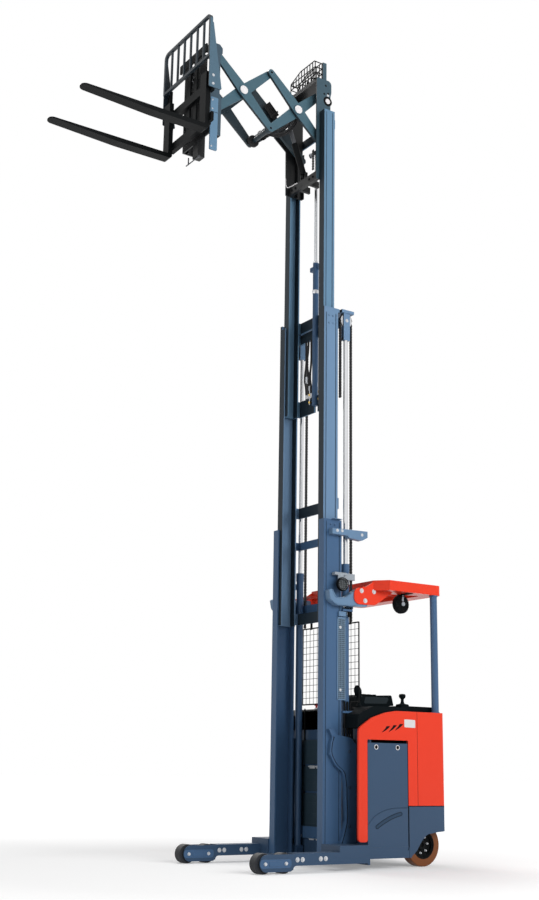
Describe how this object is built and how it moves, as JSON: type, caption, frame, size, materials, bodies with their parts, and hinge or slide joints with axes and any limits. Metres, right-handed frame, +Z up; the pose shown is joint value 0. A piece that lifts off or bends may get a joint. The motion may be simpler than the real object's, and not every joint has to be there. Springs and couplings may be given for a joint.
{
  "type": "double deep reach truck",
  "caption": "Stand-up warehouse truck with straddle legs, a raised telescopic mast and an extended double scissor that carries tilting, side-shifting forks.",
  "frame": {"origin": "on the floor under the middle of the overall box, between the rear of the body and the fork tips", "axes": "+Z up, +X ahead towards the fork tips, +Y to the truck's left"},
  "size_m": [3.534, 1.255, 7.22],
  "materials": {
    "black_paint": "satin black paint",
    "black_plastic": "grained black plastic",
    "blue_paint": "satin slate-blue paint",
    "chain_steel": "oiled leaf chain",
    "chrome_rod": "ground and hard-chromed",
    "dark_tyre": "dark grey polyurethane tread",
    "lamp_body": "bare aluminium",
    "pad_cover": "black padded cover",
    "red_button": "red plastic",
    "red_paint": "glossy orange-red paint",
    "rubber_mat": "ribbed rubber",
    "steel": "plain machined steel",
    "tan_tyre": "amber-brown polyurethane tread"
  },
  "bodies": {
    "chassis": {"back_pad": "pad_cover", "battery_block": "black_paint", "battery_gates": "blue_paint", "cable_shelf": "blue_paint", "chassis_frame": "blue_paint", "control_handle": "black_plastic", "dashboard": "black_plastic", "drive_motor": "black_paint", "floor_mat": "rubber_mat", "guard_brackets": "blue_paint", "guard_posts": "blue_paint", "hose_covers": "blue_paint", "lift_barrels": "blue_paint", "lift_chain_rear_runs": "chain_steel", "mast_gussets": "blue_paint", "operator_fan": "black_plastic", "operator_guard": "red_paint", "outer_mast": "blue_paint", "rear_cowls": "red_paint", "rear_screen": "black_paint", "side_cowls": "red_paint", "side_skirts": "blue_paint", "stop_button": "red_button", "straddle_legs": "blue_paint", "tiller_knob": "black_plastic", "top_deck": "black_plastic", "work_lamps": "lamp_body"},
    "middle_mast": {"middle_mast": "blue_paint", "lift_rods": "chrome_rod", "chain_sheaves": "steel", "lift_chain_front_runs": "chain_steel"},
    "inner_mast": {"inner_mast": "blue_paint", "free_lift_barrel": "blue_paint"},
    "free_ram": {"free_lift_ram": "chrome_rod"},
    "lift_carriage": {"lift_carriage": "blue_paint", "carriage_basket": "black_paint"},
    "rear_inner_arms": {"rear_inner_arms": "blue_paint"},
    "rear_outer_arms": {"rear_outer_arms": "blue_paint"},
    "front_inner_arms": {"front_inner_arms": "blue_paint"},
    "front_outer_arms": {"front_outer_arms": "blue_paint"},
    "reach_barrel": {"reach_barrel": "black_paint"},
    "reach_rod": {"reach_rod": "chrome_rod"},
    "fork_frame": {"fork_frame": "black_paint", "frame_cover": "blue_paint"},
    "tilt_frame": {"tilt_frame": "black_paint"},
    "fork_carriage": {"fork_carriage": "black_paint", "load_backrest": "black_paint", "forks": "black_paint"},
    "drive_yoke": {"drive_yoke": "black_paint"},
    "drive_wheel": {"drive_wheel": "tan_tyre", "drive_hub": "black_paint"},
    "caster_fork": {"caster_fork": "black_paint"},
    "caster_wheel": {"caster_wheel": "dark_tyre"},
    "load_wheel_left_front": {"load_wheel_left_front": "dark_tyre"},
    "load_wheel_left_rear": {"load_wheel_left_rear": "dark_tyre"},
    "load_wheel_right_front": {"load_wheel_right_front": "dark_tyre"},
    "load_wheel_right_rear": {"load_wheel_right_rear": "dark_tyre"}
  },
  "joints": [
    {"name": "mast_lift", "type": "slide", "parent": "chassis", "child": "middle_mast", "axis": [0, 0, 1], "range_m": [-1.883, 0], "deforming": ["lift_chain_rear_runs"]},
    {"name": "inner_lift", "type": "slide", "parent": "middle_mast", "child": "inner_mast", "axis": [0, 0, 1], "range_m": [-1.883, 0], "deforming": ["lift_chain_front_runs"]},
    {"name": "free_lift", "type": "slide", "parent": "inner_mast", "child": "lift_carriage", "axis": [0, 0, 1], "range_m": [-2.199, 0]},
    {"name": "free_ram", "type": "slide", "parent": "inner_mast", "child": "free_ram", "axis": [0, 0, 1], "range_m": [-1.0995, 0]},
    {"name": "reach", "type": "hinge", "parent": "lift_carriage", "child": "rear_inner_arms", "pos_m": [-0.75796, 0, 6.93], "axis": [0, 1, 0], "range_deg": [-3.5, 34.5]},
    {"name": "reach_rear_hub", "type": "hinge", "parent": "rear_inner_arms", "child": "rear_outer_arms", "pos_m": [-0.46055, 0, 6.64778], "axis": [0, 1, 0], "range_deg": [-69, 7]},
    {"name": "reach_top_pin", "type": "hinge", "parent": "rear_outer_arms", "child": "front_inner_arms", "pos_m": [-0.16315, 0, 6.93], "axis": [0, 1, 0], "range_deg": [-7, 69]},
    {"name": "reach_front_hub", "type": "hinge", "parent": "front_inner_arms", "child": "front_outer_arms", "pos_m": [0.13425, 0, 6.64778], "axis": [0, 1, 0], "range_deg": [-69, 7]},
    {"name": "reach_front_pin", "type": "hinge", "parent": "front_outer_arms", "child": "fork_frame", "pos_m": [0.43166, 0, 6.93], "axis": [0, 1, 0], "range_deg": [-3.5, 34.5]},
    {"name": "reach_cylinder_swing", "type": "hinge", "parent": "lift_carriage", "child": "reach_barrel", "pos_m": [-0.65896, 0, 6.11], "axis": [0, 1, 0], "range_deg": [-22.14, 2.25]},
    {"name": "reach_rod_stroke", "type": "slide", "parent": "reach_barrel", "child": "reach_rod", "axis": [0.3461, 0, 0.9382], "range_m": [-0.15452, 0.01613]},
    {"name": "fork_tilt", "type": "hinge", "parent": "fork_frame", "child": "tilt_frame", "pos_m": [0.52566, 0, 6.9], "axis": [0, 1, 0], "range_deg": [-4, 2]},
    {"name": "side_shift", "type": "slide", "parent": "tilt_frame", "child": "fork_carriage", "axis": [0, 1, 0], "range_m": [-0.05, 0.05]},
    {"name": "steer", "type": "hinge", "parent": "chassis", "child": "drive_yoke", "pos_m": [-1.58896, 0.385, 0.1715], "axis": [0, 0, 1], "range_deg": [-90, 90]},
    {"name": "drive_spin", "type": "hinge", "parent": "drive_yoke", "child": "drive_wheel", "pos_m": [-1.58896, 0.43, 0.1715], "axis": [0, 1, 0], "continuous": true},
    {"name": "caster_swivel", "type": "hinge", "parent": "chassis", "child": "caster_fork", "pos_m": [-1.56896, -0.44, 0.1], "axis": [0, 0, 1], "continuous": true},
    {"name": "caster_spin", "type": "hinge", "parent": "caster_fork", "child": "caster_wheel", "pos_m": [-1.60896, -0.44, 0.09], "axis": [0, 1, 0], "continuous": true},
    {"name": "load_spin_left_front", "type": "hinge", "parent": "chassis", "child": "load_wheel_left_front", "pos_m": [0.06304, 0.565, 0.075], "axis": [0, 1, 0], "continuous": true},
    {"name": "load_spin_left_rear", "type": "hinge", "parent": "chassis", "child": "load_wheel_left_rear", "pos_m": [-0.12196, 0.565, 0.075], "axis": [0, 1, 0], "continuous": true},
    {"name": "load_spin_right_front", "type": "hinge", "parent": "chassis", "child": "load_wheel_right_front", "pos_m": [0.06304, -0.565, 0.075], "axis": [0, 1, 0], "continuous": true},
    {"name": "load_spin_right_rear", "type": "hinge", "parent": "chassis", "child": "load_wheel_right_rear", "pos_m": [-0.12196, -0.565, 0.075], "axis": [0, 1, 0], "continuous": true}
  ],
  "couplings": [
    {"joint": "inner_lift", "follows": "mast_lift", "ratio": 1},
    {"joint": "free_ram", "follows": "free_lift", "ratio": 0.5},
    {"joint": "reach_rear_hub", "follows": "reach", "ratio": -2},
    {"joint": "reach_top_pin", "follows": "reach", "ratio": 2},
    {"joint": "reach_front_hub", "follows": "reach", "ratio": -2},
    {"joint": "reach_front_pin", "follows": "reach", "ratio": 1},
    {"joint": "reach_cylinder_swing", "follows": "reach", "ratio": -0.64149},
    {"joint": "reach_rod_stroke", "follows": "reach", "m_per_rad": -0.25579}
  ]
}
